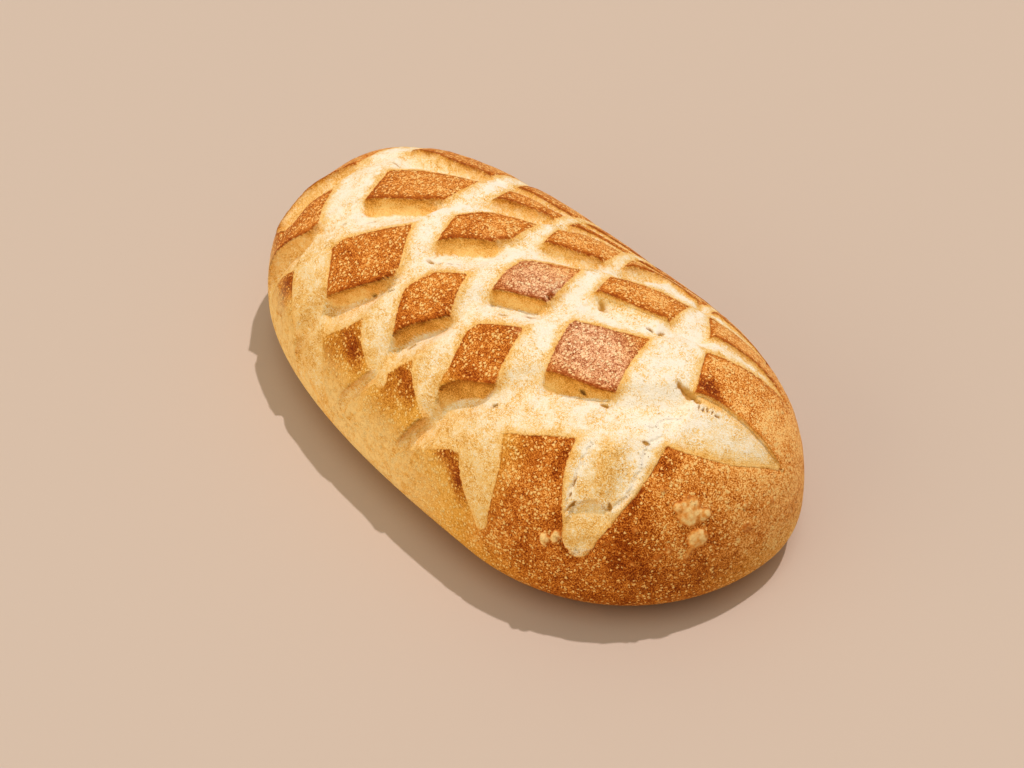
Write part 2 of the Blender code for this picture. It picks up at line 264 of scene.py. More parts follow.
# Patches of the crust that are burnt (+) or paler (-) than the rest (x, y, length, width, turn, share)
CRUST_PATCHES = (
    (99, 14, 22, 14, -15, 1.0), (111, -22, 20, 13, -60, 0.8), (112, -44, 40, 11, -72, 0.75),
    (76, -50, 30, 10, -75, 0.85), (71, -44, 14, 12, 0, 0.5), (-74, -36, 18, 13, 60, 0.5),
    (20, -46, 22, 8, 20, 0.55), (-27, -44, 20, 8, 25, 0.5), (46, -28, 14, 8, -60, 0.4),
    # The broad patch low on the round end is darker partly as painted shade
    (118, -54, 50, 28, -45, 0.75), (89, -66, 26, 11, -75, 0.6), (66, -54, 40, 30, -75, 0.25),
    (64, -2, 12, 9, 0, -0.12), (50, 30, 30, 12, 24, -0.1), (130, 14, 44, 22, 60, -0.14),
    (-64, 16, 22, 10, 25, -0.08), (-16, 12, 16, 10, 20, -0.1), (-26, -26, 12, 10, 0, -0.1),
    (125, 30, 30, 14, 60, -0.1), (60, -66, 24, 14, -75, -0.1),
)

# Tiles of the front flank: dark along a ridge near their right edge (x, y, length, width, turn, share)
FLANK_TILES = (
    (-44, -62, 34, 17, -24, 1.0), (-8, -63, 28, 18, -40, 1.0), (34, -80, 38, 13, -40, 1.0),
    (24, -77, 16, 12, -10, 0.8), (-98, -54, 26, 16, 60, 0.9), (-53, -65, 30, 20, -24, 0.4),
    (-16, -67, 30, 22, -30, 0.5), (-116, -32, 26, 12, 60, 0.5),
)

# Walls under the crust with shade painted on where they face away from the light (+), or paler than the rest
# (-) (x, y, length, width, turn, share)
WALL_SHADE_AND_PALE_PATCHES = (
    (22, -52, 34, 16, 25, 0.20), (-13, -46, 34, 16, 30, 0.18), (60, -27, 34, 12, -8, 0.10),
    (-56, -48, 34, 16, 20, -0.05), (-26, -4, 34, 12, 0, -0.15), (-70, -4, 40, 12, 10, -0.18),
    (-112, -36, 34, 22, 60, -0.40), (8, -8, 34, 12, 10, -0.10),
)
# Where the crust is glossy and a pinkish sheen is painted into its colour (x, y, length, width, turn)
SHEEN_PATCH = (34, -5, 130, 48, -10)
RAGGED_EDGE = 0.2

# Toasted patches of the crumb (x, y, length, width, turn, share)
TOAST_PATCHES = (
    (104, 9, 24, 7, 30, 1.0), (86, -33, 9, 5, -60, 0.6), (90, -41, 8, 4, -50, 0.6),
    (95, -52, 10, 4, 30, 0.5), (97, -38, 5, 3, 20, 0.4), (82, -24, 8, 4, -30, 0.4),
    (-44, 10, 14, 4, 70, 0.4), (8, -38, 12, 4, -60, 0.4),
)

# Tears and hollows in the crumb (x, y, length, width, depth, turn in degrees, and how dark a shade is painted
# in them)
TEARS = (
    (94.5, 5.3, 14, 3.6, 2.4, 1, 0.15), (101.8, 4.2, 3.4, 0.9, 1.0, -50, 0.5),
    (103.6, 5.0, 2.6, 0.9, 1.2, -60, 0.7), (105.2, 5.9, 3.2, 0.9, 1.1, -40, 0.6),
    (107.0, 6.9, 2.4, 0.9, 1.0, -65, 0.7), (109.4, 7.8, 3.2, 1.2, 1.2, 30, 0.5),
    (-37, -18, 4.5, 2.2, 1.4, 30, 0.25), (-33, -16, 2.4, 1.4, 1.4, 40, 0.8),
    (-28.5, -13.8, 4.5, 1.0, 1.2, 24, 0.8), (-25, -12, 2.2, 1.1, 1.2, 20, 0.9),
    (-79.5, -15.5, 6, 1.1, 1.2, 42, 0.9), (-87, -23, 4, 0.9, 1.0, 48, 0.8),
    (-50, -43, 3, 1.6, 1.2, 40, 0.8), (-40, -38, 4, 0.9, 1.0, 50, 0.5), (19, -11.5, 6, 1.3, 1.4, 24, 0.4),
    (61, 16, 5.5, 1.1, 1.4, -4, 0.8), (66, 17.8, 4.4, 2.6, 1.3, 80, 0.35),
    (36.8, 13.2, 6.5, 4.2, 1.4, -12, 0.3), (62, -24.3, 6.5, 1.6, 1.2, 2, 0.8),
    (74, -23, 5, 1.5, 1.1, 25, 0.3), (34.5, -51, 4.5, 1.4, 1.2, 70, 0.5),
    (91.5, -60, 8, 1.6, 1.8, 80, 0.45), (104.6, -49.5, 4.4, 2.4, 1.4, -40, 0.35),
    (86.6, -53, 5.4, 0.9, 0.9, 108, 0.65), (88.4, -57.8, 2.4, 1.1, 0.8, 108, 0.5),
    (98, -23, 3.8, 1.9, 0.9, 20, 0.3), (-100, 19, 5, 1.2, 1.2, 10, 0.4), (96, -72.5, 6, 0.9, 0.9, -12, 0.5),
    (9, -19, 5, 1.2, 1.0, 30, 0.3), (-17, -52, 5, 1.0, 0.9, 55, 0.3),
)
TEAR_RAGGED_EDGE = 0.5
TORN_FULL_DEPTH = 0.8 * MM

# The camera, aimed at the middle of the loaf's base, in a 1024 by 768 frame
IMAGE_WIDTH = 1024
IMAGE_HEIGHT = 768
CAMERA_TURN = math.radians(46.45)
CAMERA_RISE = math.radians(48.0)
CAMERA_DISTANCE = 1.2133
CAMERA_FOCUS_PX = 2744.3
ORIGIN_PX = (518.1, 417.7)
SENSOR_MM = 36.0

# The lights: name, the way the light travels, strength, colour, softness in degrees
KEY_LIGHT = ("key_light", (-0.013, -0.345, -0.938), 1.98, (0.95, 0.89, 0.98), 1.2)
FRONT_FILL = ("front_fill", (0.32, 0.90, -0.26), 1.28, (1.0, 0.84, 0.62), 70)
SHEEN_LIGHT = ("sheen", (0.45, -0.26, -0.85), 2.4, (1.0, 0.80, 0.60), 26)
SKY_COLOUR = (0.477, 0.464, 0.442, 1.0)

# The floor, with a contact shadow painted into its colour, darker where the loaf is close over it
FLOOR_HALF_SIZE = 4.0
CONTACT_SHADOW_REACH = 0.035
FLOOR_AND_CONTACT_SHADOW_SHADES = ((0.15, (0.33, 0.21, 0.12, 1.0)), (0.62, (0.595, 0.478, 0.361, 1.0)))
FLOOR_ROUGHNESS = 0.95


def smoothstep(value):
    """0 up to 0, 1 from 1 on, and a smooth step between."""
    value = np.clip(value, 0.0, 1.0)
    return value * value * (3.0 - 2.0 * value)


def eased(value, start, run):
    """0 up to start, 1 from start + run on, and a smooth step between."""
    return smoothstep((value - start) / run)


def loaf_form(directions):
    """Takes unit directions from the middle of a sphere to points of the smooth, uncut loaf."""
    turn = np.arctan2(directions[:, 1], directions[:, 0])
    level = np.arcsin(np.clip(directions[:, 2], -1.0, 1.0)) / (math.pi / 2)
    c = np.cos(turn)
    s = np.sin(turn)

    squareness = np.where(c > 0, ROUND_END, BLUNT_END)
    reach = (np.abs(c) ** squareness + np.abs(s) ** squareness) ** (-1.0 / squareness)
    plan_x = np.where(c > 0, LENGTH / 2 - CROWN_X, LENGTH / 2 + CROWN_X) * c * reach
    plan_y = np.where(s > 0, WIDTH / 2 - CROWN_Y, WIDTH / 2 + CROWN_Y) * s * reach

    rise = np.sin(np.clip(level, 0.0, 1.0) * math.pi / 2)
    dome = DOME_ACROSS + (DOME_ALONG - DOME_ACROSS) * c**2
    over = np.maximum(1.0 - rise**dome, 0.0) ** (1.0 / dome)

    down = np.clip(-level / SIDE_BAND, 0.0, 1.0)
    inward = np.clip((-level - SIDE_BAND) / (1.0 - SIDE_BAND), 0.0, 1.0)
    under = (1.0 - (1.0 - BASE_SHARE) * down**2) * (1.0 - inward)

    share = np.where(level >= 0, over, under)
    height = np.where(level >= 0, BULGE_HEIGHT + (HEIGHT - BULGE_HEIGHT) * rise, BULGE_HEIGHT * (1.0 - down))
    return np.stack([CROWN_X + plan_x * share, CROWN_Y + plan_y * share, height], axis=1)


def laid_flat(points):
    """The skin laid flat round the crown: each point keeps its straight distance from the crown."""
    away = points - np.array(CROWN)
    plan = np.hypot(away[:, 0], away[:, 1])
    stretch = np.linalg.norm(away, axis=1) / np.maximum(plan, 1e-9)
    return points[:, :2] + away[:, :2] * (stretch - 1.0)[:, None]


def slash_line(stations):
    """A smooth line through a slash's stations, as rows of x, y and half width in metres."""
    ends = [stations[0], *stations, stations[-1]]
    rows = np.array(ends, dtype=float) * MM
    line = []
    for before, start, end, after in zip(rows, rows[1:], rows[2:], rows[3:]):
        for step in range(SPLINE_STEPS):
            t = step / SPLINE_STEPS
            line.append(
                start
                + 0.5 * t * (end - before)
                + t**2 * (before - 2.5 * start + 2 * end - 0.5 * after)
                + t**3 * (1.5 * (start - end) + 0.5 * (after - before))
            )
    line.append(rows[-1])
    return np.array(line)


def across_slash(flat, stations):
    """For each point laid flat: its distance from a slash's line, + on the left, and the half width."""
    line = slash_line(stations)
    nearest = np.full(len(flat), np.inf)
    signed = np.zeros(len(flat))
    half = np.zeros(len(flat))
    for start, end in zip(line, line[1:]):
        run = end[:2] - start[:2]
        length = np.hypot(*run)
        away = flat - start[:2]
        along = np.clip(away @ run / length**2, 0.0, 1.0)
        distance = np.hypot(*(away - along[:, None] * run).T)
        side = np.sign(run[0] * away[:, 1] - run[1] * away[:, 0])
        closer = distance < nearest
        nearest = np.where(closer, distance, nearest)
        signed = np.where(closer, distance * side, signed)
        half = np.where(closer, start[2] + along * (end[2] - start[2]), half)
    return signed, half


def cross_depth(signed, half):
    """A rounded trough, gentle on its left bank, steep on its right, with dough risen along a wide one."""
    inside = np.clip(np.abs(signed) / half, 0.0, 1.0)
    full = CROSS_DEPTH * np.minimum(1.0, half / FULL_DEPTH_HALF_WIDTH)
    bloom = BLOOM * smoothstep(half / BLOOM_HALF_WIDTH - 0.3) * (1.0 - inside**2) ** 2
    return full * (1.0 - inside ** np.where(signed > 0, CROSS_STEEP_SIDE, CROSS_SOFT_SIDE)) - bloom


def low_walls(flat):
    """Where the walls of the long slashes are low: towards the round end, and behind the crown there."""
    near_end = eased(flat[:, 0], LOW_WALL_FROM, LOW_WALL_RUN)
    behind = eased(flat, np.array(FAR_WALL_FROM), FAR_WALL_RUN)
    return np.maximum(near_end, behind[:, 0] * behind[:, 1])


def down_the_wall(signed, half, low):
    """0 at the lifted rim of a long slash, 1 at the foot of its wall, more than 1 on the floor."""
    run = np.maximum(LEAST_WALL_RUN, WALL_SHARE * 2.0 * half * (1.0 - LOW_WALL_SHARE * low))
    return (half - signed) / run, run


def long_depth(signed, half, low):
    """A steep wall under the lifted crust, then a floor that climbs back to the crust in front."""
    down, run = down_the_wall(signed, half, low)
    from_wall = half - signed
    from_front = half + signed
    full = LONG_DEPTH * np.minimum(1.0, half / FULL_DEPTH_HALF_WIDTH) * (1.0 - LOW_WALL_SHARE * low)
    wall = np.sin(np.clip(down, 0.0, 1.0) * math.pi / 2) ** WALL_ROUNDING
    climb = np.clip(from_front / np.maximum(2.0 * half - run, 1e-4), 0.0, 1.0) ** FLOOR_ROUNDING
    notch = RIM_NOTCH * smoothstep(np.minimum(from_wall, from_front) / RIM_ROUNDING)
    opened = np.maximum(full * np.minimum(wall, climb), notch)
    return np.where((from_wall > 0) & (from_front > 0), opened, 0.0)


def ear(signed, half):
    """1 at the lifted rim behind a long slash, falling away behind it."""
    behind = signed - half
    end_fade = smoothstep(half / FULL_DEPTH_HALF_WIDTH)
    near_rim = np.exp(-np.maximum(behind, 0.0) / EAR_REACH) * smoothstep(behind / RIM_ROUNDING + 1.0)
    return near_rim * end_fade


def blended_greater(a, b, blend):
    """The greater of two depths, eased where they are nearly equal."""
    return 0.5 * (a + b + np.sqrt((a - b) ** 2 + blend**2) - blend)


def slope_between_tiles(signed, half):
    """Where a cross slash runs into a long one the floor has no wall: it slopes down from well behind it."""
    run = np.maximum(LEAST_WALL_RUN, WALL_SHARE * 2.0 * half) + SLOPE_LEAD
    full = MEETING_DEPTH * np.minimum(1.0, half / FULL_DEPTH_HALF_WIDTH)
    climb = np.clip((half + signed) / np.maximum(2.0 * half + SLOPE_LEAD - run, 1e-4), 0.0, 1.0)
    return full * smoothstep((half + SLOPE_LEAD - signed) / run) * climb**FLOOR_ROUNDING


class Slashed:
    """What the slashes do at points laid flat: depth, lifted edges, distance to the rims (+ on the crust)."""

    def __init__(self, flat):
        count = len(flat)
        self.depth = np.zeros(count)
        self.rim = np.full(count, NO_SLASH_NEAR)
        self.edge = np.ones((count, 3))
        self.lifted = np.zeros(count)
        self.wall = np.zeros(count)
        for stations in CROSS_SLASHES:
            signed, half = across_slash(flat, stations)
            self.depth = np.maximum(self.depth, cross_depth(signed, half))
            self.note_rim(signed, half, STEEP_BANK, SOFT_BANK)
        between = smoothstep((BETWEEN_TILES_FROM - self.rim) / BETWEEN_TILES_REACH)
        self.beside_tile = eased(self.rim, *BESIDE_TILE)
        low = low_walls(flat)
        for stations in LONG_SLASHES:
            signed, half = across_slash(flat, stations)
            inside = np.abs(signed) < half
            down = down_the_wall(signed, half, low)[0]
            opened = blended_greater(self.depth, long_depth(signed, half, low), MEETING_BLEND)
            under_tile = np.where(inside, opened, self.depth)
            between_tiles = blended_greater(self.depth, slope_between_tiles(signed, half), SLOPE_BLEND)
            self.depth = under_tile + between * (between_tiles - under_tile)
            self.note_rim(signed, half, LIFTED_RIM, FRONT_RIM)
            self.lifted = np.maximum(self.lifted, ear(signed, half))
            self.wall = np.where(inside, np.maximum(self.wall, 1.0 - down), self.wall)
        self.lifted *= 1.0 - smoothstep(self.depth / (2.0 * EAR_HEIGHT))
        self.wall = np.clip(self.wall, 0.0, 1.0)
        self.open_star(flat)

    def note_rim(self, signed, half, left_edge, right_edge):
        """Keeps the distance to this slash's rim, and how its edge is toasted, where it is the nearest."""
        rim = np.abs(signed) - half
        nearer = rim < self.rim
        self.edge = np.where(nearer[:, None], np.where(signed[:, None] > 0, left_edge, right_edge), self.edge)
        self.rim = np.minimum(self.rim, rim)

    def open_star(self, flat):
        """Raises the swollen dough in the widest opening, and sinks the bowl with its sharp upper lip."""
        in_star = smoothstep(-self.rim / STAR_EDGE)
        self.tongue = in_star * (1.0 - smoothstep(oval_share(flat, *STAR_TONGUE)))
        u, v = oval_place(flat, *STAR_BOWL)
        below_lip = (1.0 - eased(np.hypot(u, v), *BOWL_LIP)) * eased(v, *BOWL_SLOPE)
        self.depth += in_star * BOWL_DEPTH * below_lip - TONGUE_RISE * self.tongue * (1.0 - below_lip)

    def run_out(self, height):
        """Lets the slashes run out down the loaf's sides, and keeps the base plain crust."""
        self.on_base = 1.0 - eased(height, *OFF_BASE)
        self.rim += self.on_base * (WELL_ON_CRUST - self.rim)
        self.on_crumb = smoothstep(-self.rim / CRUMB_EDGE)
        self.on_crust = 1.0 - smoothstep(-self.rim / CRUST_EDGE)
        self.fade = eased(height, *SLASHED_UP)
        self.lifted *= self.fade
        self.depth *= self.fade


def oval_place(flat, x, y, length, width, turn):
    """Each point's place in an oval on the skin laid flat: along and across it, 1 at its ends and sides."""
    along = math.radians(turn)
    dx = flat[:, 0] / MM - x
    dy = flat[:, 1] / MM - y
    u = (dx * math.cos(along) + dy * math.sin(along)) / (length / 2)
    v = (dy * math.cos(along) - dx * math.sin(along)) / (width / 2)
    return u, v


def oval_share(flat, *oval):
    """0 in the middle of an oval on the skin laid flat, 1 on its edge, more outside."""
    return np.hypot(*oval_place(flat, *oval))


def blister_rise(flat, ragged):
    """How high the blisters stand."""
    rise = np.zeros(len(flat))
    for x, y, length, width, height, turn in BLISTERS:
        share = oval_share(flat, x, y, length, width, turn) + BLISTER_RAGGED_EDGE * ragged
        dome = np.clip(1.0 - np.maximum(share, 0.0) ** 2, 0.0, 1.0) ** BLISTER_ROUNDING
        rise = np.maximum(rise, BLISTER_SWELL * height * MM * dome)
    return rise


def tear_depth(flat, ragged):
    """How deep the tears are, and how dark the shade painted into them is."""
    depth = np.zeros(len(flat))
    dark = np.zeros(len(flat))
    for x, y, length, width, deep, turn, shadow_share in TEARS:
        share = oval_share(flat, x, y, length, width, turn) + TEAR_RAGGED_EDGE * ragged
        sunk = 1.0 - eased(share, *TEAR_SIDES)
        depth = np.maximum(depth, deep * MM * sunk)
        dark = np.maximum(dark, shadow_share * sunk)
    return depth, dark


def in_crease(flat, ragged, uneven):
    """1 along the bottom of a crease, 0 from its edges on; and how near it the crumb is torn into pits."""
    inside = np.zeros(len(flat))
    pitted = np.zeros(len(flat))
    for stations in CREASES:
        signed, half = across_slash(flat, stations)
        off = np.abs(signed + CREASE_WANDER * ragged) / (half * (1.0 + CREASE_UNEVENNESS * uneven))
        inside = np.maximum(inside, 1.0 - np.minimum(off, 1.0) ** 2)
        pitted = np.maximum(pitted, 1.0 - smoothstep(np.abs(signed) / PITTED_REACH))
    return inside, pitted


def sphere_directions(bm):
    """The way from the middle of the sphere to each of its points."""
    return np.array([vert.co.normalized() for vert in bm.verts])


def halve_edges(bm, near):
    """Halves every edge with an end where near is true, and makes triangles of what that leaves."""
    bm.verts.index_update()
    edges = [edge for edge in bm.edges if near[edge.verts[0].index] or near[edge.verts[1].index]]
    bmesh.ops.subdivide_edges(bm, edges=edges, cuts=1, use_grid_fill=True)
    bmesh.ops.triangulate(bm, faces=[face for face in bm.faces if len(face.verts) > 3])


def worked_sphere():
    """A sphere whose triangles are halved where the slashes, the blisters and the tears will be."""
    bm = bmesh.new()
    bmesh.ops.create_icosphere(bm, subdivisions=SPHERE_SUBDIVISIONS, radius=1.0)
    form = loaf_form(sphere_directions(bm))
    flat = laid_flat(form)
    halve_edges(bm, (Slashed(flat).rim < FINE_CRUST_REACH) & (form[:, 2] > BULGE_HEIGHT))
    flat = laid_flat(loaf_form(sphere_directions(bm)))
    margin = FINE_OVAL_MARGIN_MM
    in_ovals = [
        oval_share(flat, x, y, length + margin, width + margin, turn)
        for x, y, length, width, _, turn, *_ in BLISTERS + TEARS
    ]
    in_oval = np.min(in_ovals, axis=0) < 1.0
    off_crease = np.min([np.abs(across_slash(flat, stations)[0]) for stations in CREASES], axis=0)
    halve_edges(bm, in_oval | (off_crease < FINE_CREASE_REACH))
    form = loaf_form(sphere_directions(bm))
    flat = laid_flat(form)
    across_long = [across_slash(flat, stations) for stations in LONG_SLASHES]
    across_cross = [across_slash(flat, stations) for stations in CROSS_SLASHES]
    lifted = np.min([np.abs(signed - half) for signed, half in across_long], axis=0) < LIFTED_RIM_REACH
    beside_tile = np.min([np.abs(signed) - half for signed, half in across_cross], axis=0) > 0
    halve_edges(bm, lifted & beside_tile & (form[:, 2] > BULGE_HEIGHT + LIFTED_RIM_ABOVE))
    return bm


def grain(points, size, octaves=3):
    """Soft random values, about -1 to 1, that change over the given size."""
    return np.array([noise.fractal(Vector(point) / size, 1.0, 2.0, octaves) for point in points])


class Marks:
    """The blisters, the tears and the creases at points of the skin."""

    def __init__(self, smooth, flat):
        self.ragged = grain(smooth, RAGGED_SIZE, 2)
        self.torn, self.tear_shadow = tear_depth(flat, self.ragged)
        self.blister = blister_rise(flat, self.ragged)
        self.crease, self.pitted = in_crease(flat, self.ragged, grain(smooth, CREASE_UNEVEN_SIZE, 2))

    def patch(self, flat, oval):
        """1 in the middle of an oval patch, 0 outside it, with a ragged edge."""
        return 1.0 - smoothstep(oval_share(flat, *oval) + RAGGED_EDGE * self.ragged)


def shaped(smooth, normals, cut, marks):
    """The smooth loaf's points, moved to where the slashes, the marks and the skin's unevenness put them."""
    upper = (smooth[:, 2] >= BULGE_HEIGHT).astype(float)
    above = np.clip((smooth[:, 2] - BULGE_HEIGHT) / (HEIGHT - BULGE_HEIGHT), 0.0, 1.0)
    swell = np.array([noise.noise(Vector(point) / UNEVEN_SIZE) for point in smooth])
    swell = UNEVENNESS * swell * np.minimum(1.0, 3.0 * above)
    wrinkle = (CRUMB_WRINKLE + TONGUE_WRINKLE * cut.tongue) * grain(smooth, CRUMB_WRINKLE_SIZE) * cut.on_crumb
    wrinkle += CRUST_WRINKLE * grain(smooth, CRUST_WRINKLE_SIZE, 2) * cut.on_crust
    shoulder = SHOULDER_DROP * np.exp(-np.maximum(cut.rim, 0.0) / SHOULDER_REACH)
    shoulder *= cut.on_crust * (1.0 - cut.lifted) * cut.fade
    rise = swell + wrinkle * cut.fade + EAR_HEIGHT * cut.lifted + marks.blister * cut.on_crust - shoulder
    rise = upper * (rise - cut.depth - marks.torn - CREASE_DEPTH * marks.crease)
    lean = np.outer(cut.lifted * EAR_LEAN * upper, EAR_LEAN_WAY)
    points = smooth + normals * rise[:, None] + lean
    points[:, 2] = np.minimum(points[:, 2], cad_box[1][2])
    return points


def crust_values(smooth, flat, cut, marks):
    """Where the crust is pale, golden, burnt, blistered or glossy, and where a sheen is painted on."""
    x, y, z = smooth.T
    flat_x, flat_y = flat.T
    flank = eased(-flat_y, *FRONT_FLANK) * (1.0 - eased(flat_x, *FLANK_STOPS))
    # The low round end: browner bake and painted shade
    low_end = eased(x, *LOW_END_ALONG) * (1.0 - eased(z, *LOW_END_UP))
    low_end *= 0.5 + 0.5 * eased(-y, *LOW_END_ACROSS)
    far_right = eased(x, *FAR_RIGHT_ALONG) * eased(y, *FAR_RIGHT_ACROSS)
    foot = eased(-z, *FOOT_DOWN) * eased(-x, *FOOT_BACK)
    tone = CRUST_TONE + LOW_END_BAKE_AND_SHADE_TONE * low_end + FAR_SIDE_TONE * eased(flat_y, *FAR_SIDE) + FLANK_TONE * flank
    tone += ROUND_END_TONE * eased(x, *ROUND_END_FROM) + FAR_RIGHT_TONE * far_right + FOOT_TONE * foot

    _, line, line_reach = cut.edge.T
    line = line * cut.fade * (1.0 - 0.85 * flank) * (1.0 - 0.7 * eased(flat_x, *STAR_ARMS))
    beyond = np.maximum(cut.rim, 0.0) / MM
    edge_line = line * np.exp(-((beyond / line_reach) ** 2)) * (0.9 + 0.3 * grain(smooth, TOAST_SIZE, 2))

    burnt = BURNT_BY_EDGE * line * np.exp(-beyond / BURNT_REACH_MM)
    ridge = np.zeros(len(flat))
    for *oval, share in FLANK_TILES:
        ridge = np.maximum(ridge, share * marks.patch(flat, oval))
    burnt = np.maximum(burnt, ridge)
    for *oval, share in CRUST_PATCHES:
        patch = share * marks.patch(flat, oval)
        burnt = np.maximum(burnt, patch)
        tone = tone - np.minimum(patch, 0.0)
    burnt *= 0.9 + 0.4 * grain(smooth, BURNT_SIZE, 2)

    golden = np.maximum(flank, 1.0 - eased(z, *GOLDEN_UP)) * (1.0 - 0.8 * low_end) * (1.0 - ridge)
    on_blister = np.clip(marks.blister / BLISTER_FULL_HEIGHT, 0.0, 1.0) * cut.on_crust * (1.0 - cut.on_base)
    pale_base = eased(-z, *PALE_BASE_DOWN) * (1.0 - eased(x, *PALE_BASE_ALONG)) * eased(-y, *PALE_BASE_ACROSS)
    return {
        "rim_mm": cut.rim / MM,
        "tone": tone,
        "golden": golden,
        "edge_line": np.clip(edge_line, 0.0, 1.0),
        "burnt": np.clip(burnt, 0.0, 1.0) * cut.on_crust * (1.0 - cut.on_base),
        "blister": on_blister * (1.0 - 0.15 * eased(x, *ROUND_END_BLISTERS)),
        "shiny": 1.0 - smoothstep(1.5 * oval_share(flat, *SHEEN_PATCH) - 0.5),
        "end": eased(x, *ROUND_END_GRAIN),
        "pale_base": pale_base,
    }


def crumb_values(smooth, flat, cut, marks):
    """Where the crumb is pale, toasted, torn or pitted, and where shade is painted into its tears, pits,
    creases and walls.
    """
    flat_x, flat_y = flat.T
    uneven = 0.9 + 0.4 * grain(smooth, TOAST_SIZE, 2)
    reach = cut.edge[:, 0] * (1.0 + 0.9 * eased(flat_x, *STAR_TOAST)) * MM
    by_edge = np.exp(np.minimum(cut.rim, 0.0) / reach) * uneven
    wall_toast = (1.0 - 0.85 * eased(flat_y, *FAR_SIDE)) * (1.0 - 0.6 * eased(flat_x, *STAR_WALLS))
    wall_toast *= 1.0 - 0.75 * eased(-flat_y, *FLANK_WALLS)
    wall_toast *= 1.0 - 0.65 * eased(-flat_x, *BLUNT_END_WALLS)
    up_the_wall = cut.wall + 0.10 * (uneven - 0.9) / 0.4
    toasted = np.maximum(by_edge, eased(up_the_wall, *WALL_TOAST_UP) * wall_toast * cut.beside_tile)
    for *oval, share in TOAST_PATCHES:
        toasted = np.maximum(toasted, share * marks.patch(flat, oval))

    # The creases get a painted shade
    toast_and_shade_tone = WALL_FOOT_TONE + WALL_RIM_TONE * cut.wall**4 * cut.beside_tile + CREASE_SHADE_TONE * marks.crease
    # Painted shade on the walls that face away from the light; the negative shares make others paler
    for *oval, share in WALL_SHADE_AND_PALE_PATCHES:
        toast_and_shade_tone = toast_and_shade_tone - share * (1.0 - smoothstep(2.0 * oval_share(flat, *oval) - 1.0))
    pale = eased(smooth[:, 2], *PALE_UP) * (1.0 - 0.4 * cut.tongue)
    pale *= (1.0 - 0.4 * eased(-flat_y, *PALE_ACROSS)) * (1.0 - 0.5 * eased(flat_x, *PALE_ALONG))
    return {
        "tongue": cut.tongue,
        "pitted": marks.pitted,
        "toasted": toasted,
        "toast_and_shade_tone": toast_and_shade_tone,
        "pale": pale,
        "torn": np.clip(marks.torn / TORN_FULL_DEPTH, 0.0, 1.0),
        "tear_shadow": marks.tear_shadow,
    }


def loaf_mesh():
    """The whole loaf as one closed skin, with what its finish reads kept on its points."""
    bm = worked_sphere()
    smooth = loaf_form(sphere_directions(bm))
    flat = laid_flat(smooth)
    for vert, point in zip(bm.verts, smooth):
        vert.co = point
    bm.normal_update()
    normals = np.array([vert.normal for vert in bm.verts])
    cut = Slashed(flat)
    cut.run_out(smooth[:, 2])
    marks = Marks(smooth, flat)
    for vert, point in zip(bm.verts, shaped(smooth, normals, cut, marks)):
        vert.co = point

    mesh = bpy.data.meshes.new("loaf crust and crumb")
    bmesh.ops.recalc_face_normals(bm, faces=bm.faces)
    bm.to_mesh(mesh)
    bm.free()
    kept = crust_values(smooth, flat, cut, marks) | crumb_values(smooth, flat, cut, marks)
    for name, values in kept.items():
        attribute = mesh.attributes.new(name, "FLOAT", "POINT")
        attribute.data.foreach_set("value", values.astype(np.float32))
    mesh.shade_smooth()
    return mesh


def linear(red, green, blue):
    """A colour given as 0 to 255 screen values, as the linear colour that a shader takes."""
    shares = [value / 255 for value in (red, green, blue)]
    return tuple(v / 12.92 if v <= 0.04045 else ((v + 0.055) / 1.055) ** 2.4 for v in shares) + (1.0,)


# Colours as (place, colour) stops from dark to pale, and single colours
BROWN_SHADES = (
    (0.0, linear(112, 40, 4)), (0.2, linear(152, 68, 10)), (0.4, linear(186, 98, 24)),
    (0.6, linear(216, 130, 44)), (0.8, linear(240, 164, 76)), (1.0, linear(255, 206, 124)),
)
GOLDEN_SHADES = (
    (0.0, linear(126, 56, 8)), (0.2, linear(172, 102, 22)), (0.4, linear(202, 136, 40)),
    (0.6, linear(226, 162, 62)), (0.8, linear(242, 186, 92)), (1.0, linear(255, 214, 134)),
)
BLISTER_SHADES = ((0.15, linear(190, 104, 34)), (0.5, linear(232, 158, 74)), (0.85, linear(255, 216, 140)))
CRUMB_SHADES = (
    (0.0, linear(208, 144, 58)), (0.2, linear(229, 168, 78)), (0.4, linear(242, 190, 104)),
    (0.55, linear(247, 205, 126)), (0.7, linear(249, 218, 158)), (0.85, linear(252, 232, 188)),
    (1.0, linear(255, 243, 214)),
)
TOASTED_SHADES = (
    (0.0, linear(146, 76, 16)), (0.3, linear(190, 122, 42)), (0.5, linear(218, 150, 60)),
    (0.7, linear(243, 178, 84)), (1.0, linear(255, 212, 130)),
)
# Painted shade in the tears and hollows, from shallow to deep
TEAR_SHADOW_SHADES = ((0.1, linear(214, 164, 84)), (0.45, linear(184, 132, 58)), (0.9, linear(120, 78, 32)))
PALE_BASE_COLOUR = linear(250, 214, 142)
# The pinkish pale colour of the sheen painted on the glossy crust
PAINTED_SHEEN_COLOUR = linear(250, 220, 176)
# The colour of the shade painted into the pits
PIT_SHADOW_COLOUR = linear(146, 110, 58)


